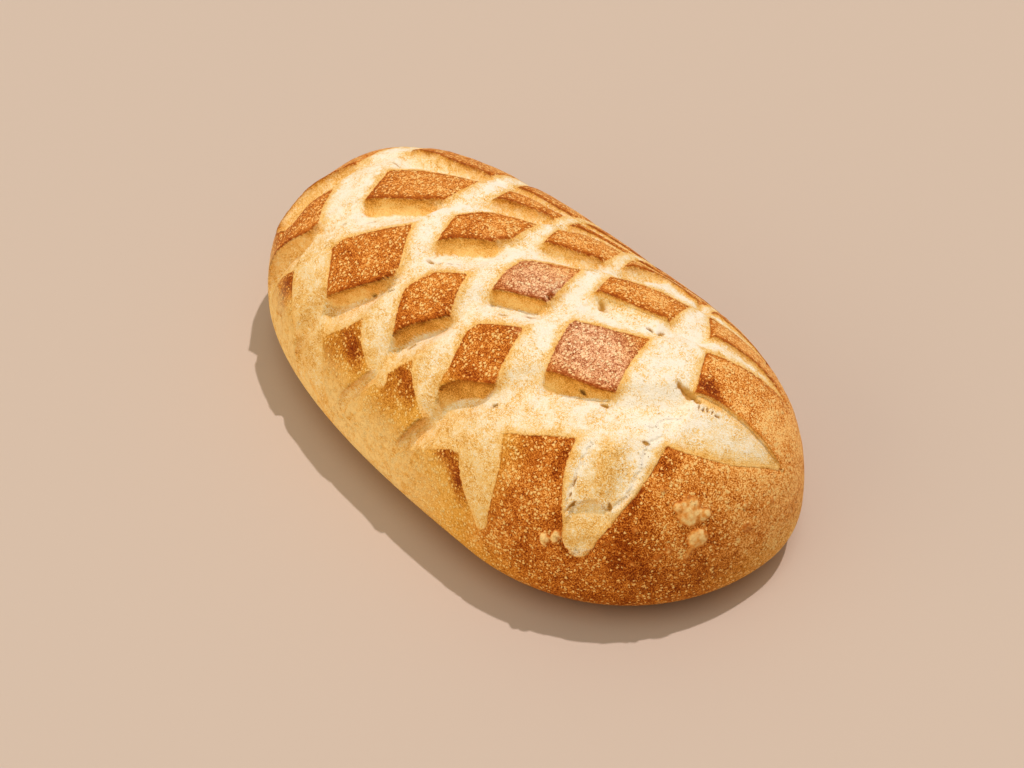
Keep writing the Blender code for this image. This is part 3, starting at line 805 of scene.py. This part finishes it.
class Nodes:
    """Small helpers that lay out a material's nodes."""

    def __init__(self, material):
        self.tree = material.node_tree
        self.place = self.new("ShaderNodeTexCoord").outputs["Object"]

    def new(self, kind):
        return self.tree.nodes.new(kind)

    def feed(self, socket, value):
        """Gives a socket a link to another node, or a plain value."""
        if isinstance(value, bpy.types.NodeSocket):
            self.tree.links.new(value, socket)
        else:
            socket.default_value = value

    def kept(self, name):
        """What the loaf's points keep under a name."""
        node = self.new("ShaderNodeAttribute")
        node.attribute_name = name
        return node.outputs["Fac"]

    def calc(self, operation, a, b=0.0, c=0.0):
        node = self.new("ShaderNodeMath")
        node.operation = operation
        for socket, value in zip(node.inputs, (a, b, c)):
            self.feed(socket, value)
        return node.outputs[0]

    def span(self, value, low, high, to_low=0.0, to_high=1.0):
        """Carries low..high to to_low..to_high smoothly, and holds the ends beyond it."""
        node = self.new("ShaderNodeMapRange")
        node.interpolation_type = "SMOOTHSTEP"
        names = ("Value", "From Min", "From Max", "To Min", "To Max")
        for name, number in zip(names, (value, low, high, to_low, to_high)):
            self.feed(node.inputs[name], number)
        return node.outputs["Result"]

    def lerp(self, share, a, b):
        """A number between a and b."""
        node = self.new("ShaderNodeMix")
        self.feed(node.inputs[0], share)
        self.feed(node.inputs[2], a)
        self.feed(node.inputs[3], b)
        return node.outputs[0]

    def total(self, *terms):
        """The sum of (value, factor, middle) terms, each taken from its middle."""
        whole = 0.0
        for value, factor, middle in terms:
            whole = self.calc("ADD", whole, self.calc("MULTIPLY_ADD", value, factor, -factor * middle))
        return whole

    def soft_noise(self, size_mm, detail=2.0, rough=0.55, distortion=0.0, offset=0.0):
        """Soft random values, about 0 to 1, that change over the given size."""
        node = self.new("ShaderNodeTexNoise")
        self.feed(node.inputs["Vector"], self.shifted(offset) if offset else self.place)
        node.inputs["Scale"].default_value = 1.0 / (size_mm * MM)
        node.inputs["Detail"].default_value = detail
        node.inputs["Roughness"].default_value = rough
        node.inputs["Distortion"].default_value = distortion
        return node.outputs["Fac"]

    def shifted(self, offset):
        """The place, moved off so that two patterns of one size don't lie on each other."""
        node = self.new("ShaderNodeVectorMath")
        node.operation = "ADD"
        self.feed(node.inputs[0], self.place)
        node.inputs[1].default_value = (offset, 2 * offset, -offset)
        return node.outputs[0]

    def bent(self, size_mm, amount_mm):
        """The place, pushed about a little so that what is laid over it gets uneven outlines."""
        push = self.new("ShaderNodeTexNoise")
        self.feed(push.inputs["Vector"], self.place)
        push.inputs["Scale"].default_value = 1.0 / (size_mm * MM)
        node = self.new("ShaderNodeVectorMath")
        node.operation = "MULTIPLY_ADD"
        self.feed(node.inputs[0], push.outputs["Color"])
        node.inputs[1].default_value = (2 * amount_mm * MM,) * 3
        self.feed(node.inputs[2], self.place)
        return node.outputs[0]

    def cells(self, size_mm, place):
        """Distance to the middle of the nearest cell, in cell sizes, and a random number for each cell."""
        node = self.new("ShaderNodeTexVoronoi")
        self.feed(node.inputs["Vector"], place)
        node.inputs["Scale"].default_value = 1.0 / (size_mm * MM)
        split = self.new("ShaderNodeSeparateColor")
        self.feed(split.inputs[0], node.outputs["Color"])
        return node.outputs["Distance"], split.outputs[0]

    def blend(self, share, a, b):
        """A colour between a and b."""
        node = self.new("ShaderNodeMix")
        node.data_type = "RGBA"
        self.feed(node.inputs[0], share)
        self.feed(node.inputs[6], a)
        self.feed(node.inputs[7], b)
        return node.outputs[2]

    def shades(self, share, *stops):
        """A colour that runs through (place, colour) stops."""
        node = self.new("ShaderNodeValToRGB")
        elements = node.color_ramp.elements
        while len(elements) < len(stops):
            elements.new(0.5)
        for element, (place, colour) in zip(elements, stops):
            element.position = place
            element.color = colour
        self.feed(node.inputs["Fac"], share)
        return node.outputs["Color"]


class Patterns:
    """Patterns on the skin that crust and crumb share."""

    def __init__(self, n):
        self.bent = n.bent(0.9, 0.7)
        self.patches = n.soft_noise(5.5, 2.0, 0.5, offset=3.1)
        self.clumps = n.soft_noise(1.9, 2.0, 0.6, offset=0.7)
        self.streaks = n.soft_noise(4.5, 3.0, 0.6, distortion=1.2, offset=4.4)


def crust_look(n, shared):
    """The crust's colour with its painted sheen, its fine height, and the tone of its grain of flakes and pin
    blisters.
    """
    edge_line = n.kept("edge_line")
    shiny = n.kept("shiny")
    end = n.kept("end")
    mottle = n.soft_noise(0.52, 0.8, 0.6)
    broad = n.soft_noise(14.0, 1.0, 0.5, offset=2.3)
    middle, luck = n.cells(1.45, shared.bent)
    luck = n.calc("SUBTRACT", luck, n.calc("MULTIPLY", end, 0.22))
    flake = n.calc("MULTIPLY", n.span(middle, 0.50, 0.26), n.span(luck, 0.25, 0.70))
    middle_roe, luck_roe = n.cells(1.7, shared.bent)
    roe = n.calc("MULTIPLY", n.span(middle_roe, 0.72, 0.25), n.span(luck_roe, 0.1, 0.9, 0.5, 1.2))
    middle_large, luck_large = n.cells(3.2, shared.bent)
    domes = n.calc("MULTIPLY", n.span(middle_large, 0.25, 0.18), n.span(luck_large, 0.45, 0.55))
    grain_tone = n.total(
        (mottle, 1.8, 0.5), (flake, 0.85, 0.14), (shared.clumps, 0.6, 0.5), (shared.patches, 0.4, 0.5),
        (domes, 0.5, 0.05),
    )
    roe_tone = n.calc("MULTIPLY", shiny, n.calc("MULTIPLY_ADD", roe, 0.35, -0.14))
    grain_tone = n.calc("ADD", grain_tone, roe_tone)
    grain_tone = n.calc("ADD", grain_tone, n.calc("MULTIPLY_ADD", broad, 0.4, -0.20))
    calm = n.total((n.kept("golden"), -0.35, 0.0), (end, 0.15, 0.0), (shiny, -0.20, 0.0))
    grain_tone = n.calc("MULTIPLY", grain_tone, n.calc("ADD", calm, 1.0))
    tone = n.calc("ADD", n.kept("tone"), grain_tone)
    tone = n.lerp(n.kept("burnt"), tone, n.calc("MULTIPLY_ADD", grain_tone, 0.75, 0.14))
    tone = n.lerp(edge_line, tone, n.calc("MULTIPLY_ADD", grain_tone, 0.3, 0.25))

    colour = n.blend(n.kept("golden"), n.shades(tone, *BROWN_SHADES), n.shades(tone, *GOLDEN_SHADES))
    base_share = n.calc("MULTIPLY", n.kept("pale_base"), n.span(shared.streaks, 0.24, 0.62))
    colour = n.blend(n.calc("MULTIPLY", base_share, 0.85), colour, PALE_BASE_COLOUR)
    # Painted sheen: the glossy crust blended towards a pale pink, more on its paler grain
    painted_sheen = n.calc("MULTIPLY", shiny, n.span(tone, 0.15, 0.9, 0.0, 0.42))
    colour = n.blend(painted_sheen, colour, PAINTED_SHEEN_COLOUR)
    puffs = n.calc("MULTIPLY_ADD", n.soft_noise(2.6, 1.0, 0.5, offset=15.2), 1.6, -0.92)
    blister = n.kept("blister")
    blister_colour = n.shades(n.calc("ADD", blister, puffs), *BLISTER_SHADES)
    colour = n.blend(n.span(blister, 0.0, 0.4, 0.0, 0.85), colour, blister_colour)

    height = n.total((mottle, 0.5, 0.0), (flake, 0.7, 0.0), (domes, 0.6, 0.0))
    height = n.calc("MULTIPLY", height, n.calc("MULTIPLY_ADD", edge_line, -0.7, 1.0))
    return colour, height, grain_tone


def crumb_look(n, shared):
    """The crumb's colour and fine height: pale and pored, golden towards its edges, toasted on the walls,
    with shade painted into its pits.
    """
    tongue = n.kept("tongue")
    pores = n.soft_noise(0.48, 0.8, 0.6, offset=1.9)
    strands = n.soft_noise(2.2, 1.0, 0.5, distortion=1.6, offset=8.3)
    strands = n.span(n.calc("ABSOLUTE", n.calc("SUBTRACT", strands, 0.5)), 0.08, 0.01)
    rough = n.span(n.soft_noise(7.0, 2.0, 0.5, offset=12.5), 0.40, 0.60)
    middle_pore, luck_pore = n.cells(1.7, shared.bent)
    specks = n.calc("MULTIPLY", n.span(middle_pore, 0.24, 0.12), n.span(luck_pore, 0.6, 0.7))
    edge_noise = n.calc("MULTIPLY_ADD", n.soft_noise(3.5, 3.0, 0.6, offset=6.2), 6.0, -3.0)
    inside = n.calc("SUBTRACT", edge_noise, n.kept("rim_mm"))
    far_in = n.calc("MULTIPLY", n.span(inside, 0.0, 6.0), n.kept("pale"))
    folds = n.calc("MULTIPLY_ADD", n.soft_noise(2.4, 3.0, 0.65, distortion=2.5, offset=5.1), 2.0, -1.1)
    folds = n.calc("MULTIPLY", folds, n.calc("MULTIPLY_ADD", tongue, 0.75, 0.3))
    fine = n.calc("MULTIPLY", n.calc("SUBTRACT", pores, 0.5), n.calc("MULTIPLY_ADD", rough, 0.4, 0.8))
    pitted = n.kept("pitted")
    tone = n.total(
        (shared.streaks, 0.65, 0.5), (specks, -0.3, 0.0), (far_in, 0.46, -1.10), (folds, 0.8, 0.0),
        (rough, -0.10, 0.5), (fine, 1.0, 0.0), (pitted, 0.30, 0.0), (tongue, -0.14, 0.0),
    )
    strand_tone = n.calc("MULTIPLY_ADD", rough, -0.30, -0.12)
    tone = n.calc("MULTIPLY_ADD", strands, strand_tone, n.calc("ADD", tone, 0.10))
    colour = n.shades(tone, *CRUMB_SHADES)

    toast_grain = n.total((pores, 1.2, 0.5), (shared.patches, 0.7, 0.5), (shared.streaks, 0.5, 0.5))
    toast = n.shades(n.calc("ADD", n.kept("toast_and_shade_tone"), toast_grain), *TOASTED_SHADES)
    toast_noise = n.calc("MULTIPLY_ADD", n.soft_noise(2.4, 3.0, 0.6, offset=9.2), 0.6, -0.3)
    colour = n.blend(n.span(n.calc("ADD", n.kept("toasted"), toast_noise), 0.12, 0.85), colour, toast)

    # Pits near the creases, painted dark as the shade in the holes
    middle_pit, luck_pit = n.cells(1.15, shared.bent)
    pits = n.calc("MULTIPLY", n.span(middle_pit, 0.42, 0.25), n.span(luck_pit, 0.58, 0.80))
    pits = n.calc("MULTIPLY", pits, n.span(shared.clumps, 0.42, 0.56))
    pits = n.calc("MULTIPLY", pits, n.span(pitted, 0.2, 0.6, 0.0, 0.75))
    colour = n.blend(pits, colour, PIT_SHADOW_COLOUR)
    # The tears get a painted shade, darker where they are deeper
    colour = n.blend(n.kept("torn"), colour, n.shades(n.kept("tear_shadow"), *TEAR_SHADOW_SHADES))

    height = n.total((pores, 1.0, 0.0), (shared.streaks, 0.6, 0.0), (specks, -0.5, 0.0), (folds, 0.5, 0.0))
    return colour, height


def bread_finish():
    """Crust outside the slashes, crumb inside them, with a ragged line between."""
    material = bpy.data.materials.new("baked loaf")
    material.use_nodes = True
    shader = material.node_tree.nodes["Principled BSDF"]
    n = Nodes(material)
    shared = Patterns(n)
    crust, crust_height, grain_tone = crust_look(n, shared)
    crumb, crumb_height = crumb_look(n, shared)

    rim_noise = n.calc("MULTIPLY_ADD", n.soft_noise(1.6, 3.0, 0.6, offset=7.7), 1.2, -0.6)
    skin = n.span(n.calc("ADD", n.kept("rim_mm"), rim_noise), -0.45, 0.15)
    n.feed(shader.inputs["Base Color"], n.blend(skin, crumb, crust))

    shiny = n.kept("shiny")
    edge_line = n.kept("edge_line")
    crust_roughness = n.span(shiny, 0.0, 1.0, DULL_ROUGHNESS, GLOSSY_ROUGHNESS)
    crust_roughness = n.lerp(edge_line, crust_roughness, EDGE_ROUGHNESS)
    over_crumb = n.calc("SUBTRACT", crust_roughness, CRUMB_ROUGHNESS)
    n.feed(shader.inputs["Roughness"], n.calc("MULTIPLY_ADD", skin, over_crumb, CRUMB_ROUGHNESS))
    sheen = n.calc("MULTIPLY", n.calc("MULTIPLY", shiny, skin), n.span(grain_tone, -0.25, 0.25, 0.15, 1.0))
    sheen = n.calc("MULTIPLY", sheen, n.calc("SUBTRACT", 1.0, edge_line))
    n.feed(shader.inputs["Specular IOR Level"], n.calc("MULTIPLY_ADD", sheen, SHEEN, LEAST_SHEEN))

    bump = n.new("ShaderNodeBump")
    bump.inputs["Distance"].default_value = GRAIN_HEIGHT
    bump.inputs["Strength"].default_value = GRAIN_STRENGTH
    n.feed(bump.inputs["Height"], n.lerp(skin, crumb_height, crust_height))
    n.feed(shader.inputs["Normal"], bump.outputs["Normal"])
    return material


def add_camera():
    """The camera that the photo was taken with, as near as its picture tells."""
    camera = bpy.data.objects.new("camera", bpy.data.cameras.new("camera"))
    bpy.context.scene.collection.objects.link(camera)
    back = Vector((
        math.sin(CAMERA_TURN) * math.cos(CAMERA_RISE),
        -math.cos(CAMERA_TURN) * math.cos(CAMERA_RISE),
        math.sin(CAMERA_RISE),
    ))
    camera.location = back * CAMERA_DISTANCE
    camera.rotation_euler = back.to_track_quat("Z", "Y").to_euler()
    camera.data.sensor_width = SENSOR_MM
    camera.data.lens = CAMERA_FOCUS_PX / IMAGE_WIDTH * SENSOR_MM
    camera.data.shift_x = (IMAGE_WIDTH / 2 - ORIGIN_PX[0]) / IMAGE_WIDTH
    camera.data.shift_y = (ORIGIN_PX[1] - IMAGE_HEIGHT / 2) / IMAGE_WIDTH
    bpy.context.scene.camera = camera


def add_sun(name, travel, strength, color, softness):
    """A distant light that shines along the direction travel."""
    light = bpy.data.lights.new(name, "SUN")
    light.energy = strength
    light.color = color
    light.angle = math.radians(softness)
    lamp = bpy.data.objects.new(name, light)
    lamp.rotation_euler = (-Vector(travel)).to_track_quat("Z", "Y").to_euler()
    bpy.context.scene.collection.objects.link(lamp)
    return lamp


def floor_finish():
    """Matt paint, with a painted contact shadow that darkens and browns it close under the loaf."""
    paint = bpy.data.materials.new("studio floor paint")
    paint.use_nodes = True
    shader = paint.node_tree.nodes["Principled BSDF"]
    n = Nodes(paint)
    contact_shadow = n.new("ShaderNodeAmbientOcclusion")
    contact_shadow.inputs["Distance"].default_value = CONTACT_SHADOW_REACH
    # Painted contact shadow: the ambient occlusion darkens the floor's colour near the loaf
    n.feed(shader.inputs["Base Color"], n.shades(contact_shadow.outputs["AO"], *FLOOR_AND_CONTACT_SHADOW_SHADES))
    shader.inputs["Roughness"].default_value = FLOOR_ROUGHNESS
    shader.inputs["Specular IOR Level"].default_value = 0.0
    return paint


def add_studio():
    """The floor, the three lights and the even light all round."""
    floor_mesh = bpy.data.meshes.new("studio floor")
    bm = bmesh.new()
    bmesh.ops.create_grid(bm, x_segments=1, y_segments=1, size=FLOOR_HALF_SIZE)
    bm.to_mesh(floor_mesh)
    bm.free()
    floor_mesh.materials.append(floor_finish())
    floor = bpy.data.objects.new("studio_floor", floor_mesh)
    bpy.context.scene.collection.objects.link(floor)

    add_sun(*KEY_LIGHT)
    add_sun(*FRONT_FILL).data.use_shadow = False
    add_sun(*SHEEN_LIGHT).visible_diffuse = False
    world = bpy.data.worlds.new("studio")
    world.use_nodes = True
    world.node_tree.nodes["Background"].inputs["Color"].default_value = SKY_COLOUR
    world.node_tree.nodes["Background"].inputs["Strength"].default_value = 1.0
    bpy.context.scene.world = world
    bpy.context.scene.view_settings.view_transform = "Standard"


def add_loaf():
    """The loaf itself, in the place of the plain one from the CAD model."""
    mesh = loaf_mesh()
    mesh.materials.append(bread_finish())
    loaf = bpy.data.objects.new("baked_loaf", mesh)
    bpy.context.scene.collection.objects.link(loaf)
    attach(loaf, "root")
    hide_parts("loaf")


add_camera()
add_studio()
add_loaf()
